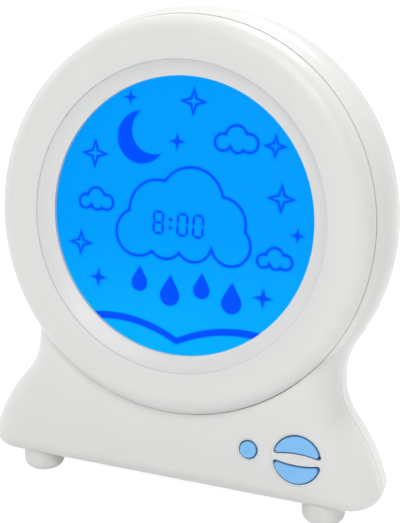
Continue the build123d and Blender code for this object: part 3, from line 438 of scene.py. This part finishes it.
def circuit_board(name, colour):
    """Solder mask over copper tracks, with the weave of the board just showing."""
    material, tree, shader = new_finish(name)
    place = add_node(tree, "ShaderNodeTexCoord").outputs["Object"]
    tracks = add_node(
        tree, "ShaderNodeTexBrick",
        {"Vector": place, "Color1": (0.4, 0.4, 0.4, 1), "Color2": (0.9, 0.9, 0.9, 1),
         "Mortar": (0, 0, 0, 1), "Scale": 140.0, "Mortar Size": 0.03, "Brick Width": 1.2,
         "Row Height": 0.3},
        offset=0.37,
    )
    copper = math_node(tree, "GREATER_THAN", tracks.outputs["Color"], 0.62)
    raised = [min(1.0, channel * 1.6 + 0.01) for channel in colour[:3]] + [1]
    lit = mix_colours(tree, copper, colour, raised)
    weave = add_node(
        tree, "ShaderNodeTexChecker", {"Vector": place, "Scale": 1800.0}
    ).outputs["Fac"]
    darker = [channel * 0.85 for channel in colour[:3]] + [1]
    woven = mix_colours(tree, math_node(tree, "MULTIPLY", weave, 0.25), lit, darker)
    tree.links.new(woven, shader.inputs["Base Color"])
    bump = add_node(
        tree, "ShaderNodeBump", {"Strength": 0.6, "Distance": 0.00003, "Height": copper}
    )
    tree.links.new(bump.outputs["Normal"], shader.inputs["Normal"])
    shader.inputs["Roughness"].default_value = 0.32
    return material


def clear_window(name):
    """Polished clear acrylic with a hard coat that keeps its glare low."""
    material, tree, shader = new_finish(name)
    smears = place_group(
        tree, slow_tone(), Colour=(0.97, 0.985, 1.0, 1), Shade=(0.93, 0.96, 1.0, 1), Amount=0.4,
        Size=0.02, Roughness=0.0, Spread=0.0,
    )
    tree.links.new(smears.outputs["Colour"], shader.inputs["Base Color"])
    shader.inputs["Roughness"].default_value = 0.0
    shader.inputs["Transmission Weight"].default_value = 1.0
    shader.inputs["IOR"].default_value = 1.07
    shader.inputs["Specular IOR Level"].default_value = 0.1
    return material


def backlit_glass(name, settings):
    """Display glass lit from behind: blue, a little greener towards its foot."""
    material, tree, shader = new_finish(name)
    place = add_node(tree, "ShaderNodeTexCoord").outputs["Object"]
    height = add_node(tree, "ShaderNodeSeparateXYZ", {0: place}).outputs["Z"]
    foot, middle = DISPLAY_CENTRE.z - GLOW_REACH, DISPLAY_CENTRE.z - 0.1 * GLOW_REACH
    ramp = add_node(
        tree, "ShaderNodeMapRange", {0: height, 1: foot, 2: middle, 3: 0.0, 4: 1.0}
    ).outputs[0]
    mottle = add_node(
        tree, "ShaderNodeTexNoise", {"Vector": place, "Scale": 40.0, "Detail": 2.0}
    ).outputs["Fac"]
    lift = math_node(tree, "MULTIPLY", math_node(tree, "SUBTRACT", mottle, 0.5), GLOW_MOTTLE)
    share = math_node(tree, "ADD", ramp, lift)
    glow = mix_colours(tree, share, tuple(settings.lower_light), tuple(settings.upper_light))
    tree.links.new(glow, shader.inputs["Emission Color"])
    shader.inputs["Emission Strength"].default_value = 1.0
    shader.inputs["Base Color"].default_value = (0.0, 0.01, 0.03, 1)
    shader.inputs["Roughness"].default_value = 0.5
    shader.inputs["Specular IOR Level"].default_value = 0.0
    return material


def lit_print(name, settings):
    """Translucent print on the display, its blue slightly uneven."""
    material, tree, shader = new_finish(name)
    place = add_node(tree, "ShaderNodeTexCoord").outputs["Object"]
    grain = add_node(
        tree, "ShaderNodeTexNoise", {"Vector": place, "Scale": 500.0, "Detail": 2.0}
    ).outputs["Fac"]
    ink = tuple(settings.ink_light)
    thin = (ink[0], ink[1] * 1.45, ink[2], 1)
    glow = mix_colours(tree, math_node(tree, "MULTIPLY", grain, 0.4), ink, thin)
    tree.links.new(glow, shader.inputs["Emission Color"])
    shader.inputs["Emission Strength"].default_value = 1.0
    shader.inputs["Base Color"].default_value = (0.0, 0.005, 0.03, 1)
    shader.inputs["Roughness"].default_value = 0.5
    shader.inputs["Specular IOR Level"].default_value = 0.0
    return material


def coat_nodes(material, slot_name):
    """Puts a finish on every CAD node whose record slot has this name."""
    for subpart in frame["record"]["subparts"]:
        if subpart["material_slot"] == slot_name:
            piece = frame["nodes"][subpart["node"]]
            piece.data.materials.clear()
            piece.data.materials.append(material)


# ---- modelling helpers ---------------------------------------------------------------------------
def only(piece):
    """Selects one piece and makes it active."""
    bpy.ops.object.select_all(action="DESELECT")
    piece.select_set(True)
    bpy.context.view_layer.objects.active = piece


def lay_disc(radius, place, thickness, sides):
    """A flat round plate in the display's plane, its middle at (x, y) on the face."""
    bpy.ops.object.select_all(action="DESELECT")
    bpy.ops.mesh.primitive_cylinder_add(
        vertices=sides, radius=radius, depth=thickness, location=(place[0], place[1], 0)
    )
    piece = bpy.context.active_object
    bpy.ops.object.transform_apply(location=True, rotation=True, scale=True)
    return piece


def lay_bar(size, place, thickness):
    """A flat bar in the display's plane."""
    bpy.ops.object.select_all(action="DESELECT")
    bpy.ops.mesh.primitive_cube_add(size=1, location=(place[0], place[1], 0))
    piece = bpy.context.active_object
    piece.scale = (size[0], size[1], thickness)
    bpy.ops.object.transform_apply(location=True, rotation=True, scale=True)
    return piece


def combine(piece, other, operation):
    """Boolean of two pieces; the second one is used up."""
    only(piece)
    bpy.ops.object.modifier_add(type="BOOLEAN")
    modifier = piece.modifiers[-1]
    modifier.operation = operation
    modifier.solver = "EXACT"
    modifier.object = other
    bpy.ops.object.modifier_apply(modifier=modifier.name)
    bpy.data.objects.remove(other, do_unlink=True)
    return piece


def merge(pieces):
    """Boolean union of several overlapping pieces."""
    whole = pieces[0]
    for other in pieces[1:]:
        combine(whole, other, "UNION")
    return whole


def gather(pieces, name):
    """Joins separate pieces into one object."""
    bpy.ops.object.select_all(action="DESELECT")
    for piece in pieces:
        piece.select_set(True)
    bpy.context.view_layer.objects.active = pieces[0]
    if len(pieces) > 1:
        bpy.ops.object.join()
    pieces[0].name = name
    pieces[0].data.name = name
    return pieces[0]


def pick_vertices(piece, wanted):
    """Opens a piece in edit mode with the vertices selected for which wanted(place) is true."""
    only(piece)
    bpy.ops.object.mode_set(mode="EDIT")
    bpy.ops.mesh.select_mode(type="VERT")
    bpy.ops.mesh.select_all(action="DESELECT")
    bpy.ops.object.mode_set(mode="OBJECT")
    for vertex in piece.data.vertices:
        vertex.select = wanted(vertex.co)
    bpy.ops.object.mode_set(mode="EDIT")


def to_display(piece, thickness, material):
    """Moves a flat piece onto the display glass, and hands it to the case."""
    only(piece)
    raised = Matrix.Translation((0, 0, thickness / 2 - PRINT_SINK))
    piece.matrix_world = FACE_MATRIX @ raised
    bpy.ops.object.transform_apply(location=True, rotation=True, scale=True)
    piece.data.materials.clear()
    piece.data.materials.append(material)
    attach(piece, "case")


def sparkle(place, reach, thickness, waist=SPARKLE_WAIST):
    """Four-pointed sparkle: every second corner of an eight-sided plate is drawn in."""
    piece = lay_disc(reach, place, thickness, sides=8)
    centre = Vector((place[0], place[1], 0))

    def between_points(spot):
        angle = (spot - centre).to_2d().angle_signed(Vector((0, 1)))
        return abs(sin(2 * angle)) > 0.5

    pick_vertices(piece, between_points)
    bpy.ops.transform.resize(value=(waist, waist, 1), center_override=centre)
    bpy.ops.object.mode_set(mode="OBJECT")
    return piece


def sparkle_line(place, reach, width, thickness):
    """Outline of a sparkle."""
    outer, inner = LINE_WAISTS
    hollow = sparkle(place, reach - 2.2 * width, thickness * 3, waist=inner)
    return combine(sparkle(place, reach, thickness, waist=outer), hollow, "DIFFERENCE")


def drop(place, radius, thickness):
    """A drop: an equal-sided triangle one radius higher runs into a round, tangent to it."""
    tip = lay_disc(radius, (place[0], place[1] + radius), thickness, sides=3)
    return merge([lay_disc(radius, place, thickness, sides=48), tip])


def cloud_plate(puffs, place, scale, inset, thickness):
    """Plate in the shape of a cloud, merged from overlapping rounds."""
    rounds = []
    for x, y, radius in puffs:
        spot = (place[0] + scale * x, place[1] + scale * y)
        rounds.append(lay_disc(scale * radius - inset, spot, thickness, sides=48))
    return merge(rounds)


def cloud_line(puffs, place, scale, width, thickness):
    """Outline of a cloud."""
    hollow = cloud_plate(puffs, place, scale, width, thickness * 3)
    return combine(cloud_plate(puffs, place, scale, 0.0, thickness), hollow, "DIFFERENCE")


def digit_bar(centre, length, width, upright, thickness):
    """One segment of a digit, with pointed ends."""
    size = (width, length) if upright else (length, width)
    piece = lay_bar(size, centre, thickness)
    only(piece)
    bpy.ops.object.mode_set(mode="EDIT")
    bpy.ops.mesh.select_mode(type="EDGE")
    bpy.ops.mesh.select_all(action="DESELECT")
    bpy.ops.object.mode_set(mode="OBJECT")
    for edge in piece.data.edges:
        low, high = (piece.data.vertices[i].co for i in edge.vertices)
        edge.select = abs(low.z - high.z) > thickness / 2
    bpy.ops.object.mode_set(mode="EDIT")
    bpy.ops.mesh.bevel(offset=BAR_POINT * width, segments=1, affect="EDGES")
    bpy.ops.object.mode_set(mode="OBJECT")
    return piece


def digit(character, centre, height, width, line, thickness):
    """The bars of one seven-bar digit."""
    half_w, half_h = (width - line) / 2, (height - line) / 2
    gap = BAR_GAP * line
    long, tall = width - line - gap, half_h - gap
    x, y = centre
    bars = [
        ((x, y + half_h), long, False), ((x - half_w, y + half_h / 2), tall, True),
        ((x + half_w, y + half_h / 2), tall, True), ((x, y), long, False),
        ((x - half_w, y - half_h / 2), tall, True), ((x + half_w, y - half_h / 2), tall, True),
        ((x, y - half_h), long, False),
    ]
    return [
        digit_bar(spot, length, line, upright, thickness)
        for lit, (spot, length, upright) in zip(DIGITS[character], bars)
        if lit == "1"
    ]


# ---- the picture's motifs ------------------------------------------------------------------------
def in_metres(x, y):
    """A place on the display, from millimetres."""
    return (x * MM, y * MM)


def lay_round(row, thickness, sides):
    """A disc from x, y and radius in millimetres."""
    x, y, radius = row
    return lay_disc(radius * MM, in_metres(x, y), thickness, sides=sides)


def draw_moon(thickness):
    """A crescent: a disc with a bite."""
    moon = lay_round(MOON, thickness, 96)
    return [combine(moon, lay_round(MOON_BITE, thickness * 3, 96), "DIFFERENCE")]


def draw_clouds(line, thickness):
    """The big cloud round the time, and the small ones."""
    clouds = []
    for puffs, rows in ((BIG_PUFFS, (BIG_CLOUD,)), (SMALL_PUFFS, SMALL_CLOUDS)):
        for x, y, scale in rows:
            clouds.append(cloud_line(puffs, in_metres(x, y), scale * MM, line, thickness))
    return clouds


def draw_sparkles(line, thickness):
    """Outlined and solid sparkles."""
    outlined = [
        sparkle_line(in_metres(x, y), reach * MM, line, thickness) for x, y, reach in SPARKLE_LINES
    ]
    solid = [sparkle(in_metres(x, y), reach * MM, thickness) for x, y, reach in SPARKLE_SOLIDS]
    return outlined + solid


def draw_drops(thickness):
    """Drops under the big cloud."""
    return [drop(in_metres(x, y), radius * MM, thickness) for x, y, radius in DROPS]


def draw_time(height, thickness):
    """The digits and the colon between them."""
    pitch, bar = DIGIT_PITCH * height, DIGIT_BAR * height
    left = -1.5 * pitch
    bars = []
    for step, character in TIME_DIGITS:
        centre = (left + step * pitch, TIME_Y * MM)
        bars += digit(character, centre, height, DIGIT_WIDTH * height, bar, thickness)
    for side in (-1, 1):
        spot = (left + COLON_STEP * pitch, TIME_Y * MM + side * COLON_SPREAD * height)
        bars.append(lay_disc(COLON_DOT * bar, spot, thickness, sides=16))
    return bars


def hill_plate(thickness, lowered):
    """Both hills as one plate, lowered by a few millimetres."""
    rounds = [lay_round((x, y - lowered, radius), thickness, 192) for x, y, radius in HILLS]
    return merge(rounds)


def draw_hills(thickness):
    """The band along the top of the hills, inside the window."""
    crest = combine(hill_plate(thickness, 0), hill_plate(thickness * 3, HILL_BAND), "DIFFERENCE")
    window = lay_round((0, 0, PICTURE_R), thickness * 5, 128)
    return [combine(crest, window, "INTERSECT")]


# ---- operators -----------------------------------------------------------------------------------
class CLOCK_OT_case_finish(bpy.types.Operator):
    """Gives case, ring and feet their satin white"""

    bl_idname = "clock.case_finish"
    bl_label = "Case Finish"

    def execute(self, context):
        finish = context.scene.clock_finish
        material = moulding(
            "satin white plastic", tuple(finish.case_colour), roughness=finish.case_roughness,
            grain=finish.grain_size,
        )
        coat_nodes(material, "case_white")
        return {"FINISHED"}


class CLOCK_OT_button_finish(bpy.types.Operator):
    """Gives the push buttons their sky blue"""

    bl_idname = "clock.button_finish"
    bl_label = "Button Finish"

    def execute(self, context):
        finish = context.scene.clock_finish
        material = moulding(
            "sky blue plastic", tuple(finish.button_colour), roughness=0.36, grain=0.0004,
            depth=0.000006, amount=0.3, tone=0.01,
        )
        coat_nodes(material, "button_blue")
        return {"FINISHED"}


class CLOCK_OT_display_light(bpy.types.Operator):
    """Lights the display glass and clears the window in front of it"""

    bl_idname = "clock.display_light"
    bl_label = "Display Light"

    def execute(self, context):
        coat_nodes(backlit_glass("backlit display", context.scene.clock_display), "display_glass")
        coat_nodes(clear_window("clear window"), "window_clear")
        return {"FINISHED"}


class CLOCK_OT_display_picture(bpy.types.Operator):
    """Prints the night sky picture and the time on the display"""

    bl_idname = "clock.display_picture"
    bl_label = "Display Picture"

    def execute(self, context):
        display = context.scene.clock_display
        ink = lit_print("display print", display)
        line, thick = display.line_width, display.ink_thickness
        motifs = {
            "display_moon": draw_moon(thick),
            "display_clouds": draw_clouds(line, thick),
            "display_sparkles": draw_sparkles(line, thick),
            "display_drops": draw_drops(thick),
            "display_time": draw_time(display.digit_height, thick),
            "display_hills": draw_hills(thick),
        }
        for name, drawn in motifs.items():
            to_display(gather(drawn, name), thick, ink)
        return {"FINISHED"}


class CLOCK_OT_inner_finish(bpy.types.Operator):
    """Gives the pieces inside the case their finishes"""

    bl_idname = "clock.inner_finish"
    bl_label = "Inner Finish"

    def execute(self, context):
        for slot_name, (name, colour, roughness) in INNER_MOULDINGS.items():
            coat_nodes(moulding(name, colour, roughness=roughness, grain=0.0003), slot_name)
        paper = moulding(
            "pressed paper", CONE_COLOUR, roughness=0.85, grain=0.0008, depth=0.00008, amount=0.5,
            tone=0.004,
        )
        coat_nodes(paper, "cone_paper")
        for slot_name, (name, colour, roughness) in INNER_METALS.items():
            coat_nodes(metal(name, colour, roughness), slot_name)
        coat_nodes(circuit_board("green circuit board", BOARD_GREEN), "board_green")
        return {"FINISHED"}


class CLOCK_OT_studio(bpy.types.Operator):
    """Sets up the camera, lamps, floor and room light"""

    bl_idname = "clock.studio"
    bl_label = "Studio"

    def execute(self, context):
        studio = context.scene.clock_studio
        context.scene.view_settings.view_transform = "Standard"
        set_camera(context, studio)
        for name, (place, size, power) in LAMPS.items():
            add_lamp(context, name, Vector(place), size, power)

        bpy.ops.object.select_all(action="DESELECT")
        bpy.ops.mesh.primitive_plane_add(size=FLOOR_SIZE, location=(0, 0, 0))
        floor = context.active_object
        floor.name = "studio_floor"
        floor.data.materials.append(floor_finish(studio.floor_lift))
        context.scene.world = studio_room(studio.room_light)
        return {"FINISHED"}


def set_camera(context, studio):
    """The camera, looking down at the clock from its right."""
    target = Vector(studio.camera_target)
    turn, tip = studio.camera_turn, studio.camera_height
    toward = Vector((sin(turn) * cos(tip), -cos(turn) * cos(tip), sin(tip)))
    bpy.ops.object.camera_add(
        location=target + toward * studio.camera_distance,
        rotation=toward.to_track_quat("Z", "Y").to_euler(),
    )
    camera = context.active_object
    camera.name = "studio_camera"
    camera.data.sensor_fit = "VERTICAL"
    camera.data.sensor_height = SENSOR_HEIGHT
    camera.data.lens = studio.focal_length
    camera.data.clip_start = 0.01
    context.scene.camera = camera


def add_lamp(context, name, place, size, power):
    """A round lamp that shines at the clock's middle."""
    bpy.ops.object.light_add(
        type="AREA", location=place, rotation=(place - LAMP_AIM).to_track_quat("Z", "Y").to_euler()
    )
    light = context.active_object
    light.name = name
    light.data.shape = "DISK"
    light.data.size = size
    light.data.energy = power


def studio_room(room_light):
    """World that is white to look at and lights the clock evenly with a strength of its own."""
    world = bpy.data.worlds.new("studio room")
    world.use_nodes = True
    tree = world.node_tree
    tree.nodes.clear()
    strength = add_node(
        tree, "ShaderNodeMapRange", {0: seen_directly(tree), 1: 0.0, 2: 1.0, 3: room_light, 4: 1.0}
    ).outputs[0]
    sky = add_node(tree, "ShaderNodeBackground", {"Color": (1, 1, 1, 1), "Strength": strength})
    output = add_node(tree, "ShaderNodeOutputWorld")
    tree.links.new(sky.outputs[0], output.inputs["Surface"])
    return world


def seen_directly(tree):
    """1 for rays that show the background: from the camera, off gloss or through glass."""
    path = add_node(tree, "ShaderNodeLightPath")
    camera, glossy = path.outputs["Is Camera Ray"], path.outputs["Is Glossy Ray"]
    either = math_node(tree, "MAXIMUM", camera, glossy)
    return math_node(tree, "MAXIMUM", either, path.outputs["Is Transmission Ray"])


def floor_finish(lift):
    """White floor that keeps the shadow under the clock and is white elsewhere."""
    material = bpy.data.materials.new("studio floor")
    material.use_nodes = True
    tree = material.node_tree
    tree.nodes.clear()
    matt = add_node(tree, "ShaderNodeBsdfDiffuse", {"Color": FLOOR_WHITE})
    raised = math_node(tree, "MULTIPLY", seen_directly(tree), lift)
    glow = add_node(tree, "ShaderNodeEmission", {"Strength": raised})
    both = add_node(tree, "ShaderNodeAddShader", {0: matt.outputs[0], 1: glow.outputs[0]})
    output = add_node(tree, "ShaderNodeOutputMaterial")
    tree.links.new(both.outputs[0], output.inputs["Surface"])
    return material


class CLOCK_PT_sidebar(bpy.types.Panel):
    """Lists the steps in the sidebar"""

    bl_label = "Bedside Clock"
    bl_idname = "CLOCK_PT_sidebar"
    bl_space_type = "VIEW_3D"
    bl_region_type = "UI"
    bl_category = "Bedside Clock"

    def draw(self, context):
        layout = self.layout
        for group, name in SETTINGS:
            box = layout.box()
            for setting in group.__annotations__:
                box.prop(getattr(context.scene, name), setting)
        for operator in OPERATORS:
            layout.operator(operator.bl_idname)


SETTINGS = (
    (FinishSettings, "clock_finish"),
    (DisplaySettings, "clock_display"),
    (StudioSettings, "clock_studio"),
)
OPERATORS = (
    CLOCK_OT_studio,
    CLOCK_OT_case_finish,
    CLOCK_OT_button_finish,
    CLOCK_OT_display_light,
    CLOCK_OT_display_picture,
    CLOCK_OT_inner_finish,
)


def register():
    """Adds the settings, operators and panel."""
    for group, name in SETTINGS:
        bpy.utils.register_class(group)
        setattr(bpy.types.Scene, name, bpy.props.PointerProperty(type=group))
    for operator in OPERATORS:
        bpy.utils.register_class(operator)
    bpy.utils.register_class(CLOCK_PT_sidebar)


def unregister():
    """Takes them out again."""
    bpy.utils.unregister_class(CLOCK_PT_sidebar)
    for operator in reversed(OPERATORS):
        bpy.utils.unregister_class(operator)
    for group, name in reversed(SETTINGS):
        delattr(bpy.types.Scene, name)
        bpy.utils.unregister_class(group)


def main():
    """Builds the whole scene."""
    register()
    for operator in OPERATORS:
        area, action = operator.bl_idname.split(".")
        getattr(getattr(bpy.ops, area), action)()


if __name__ == "__main__":
    main()
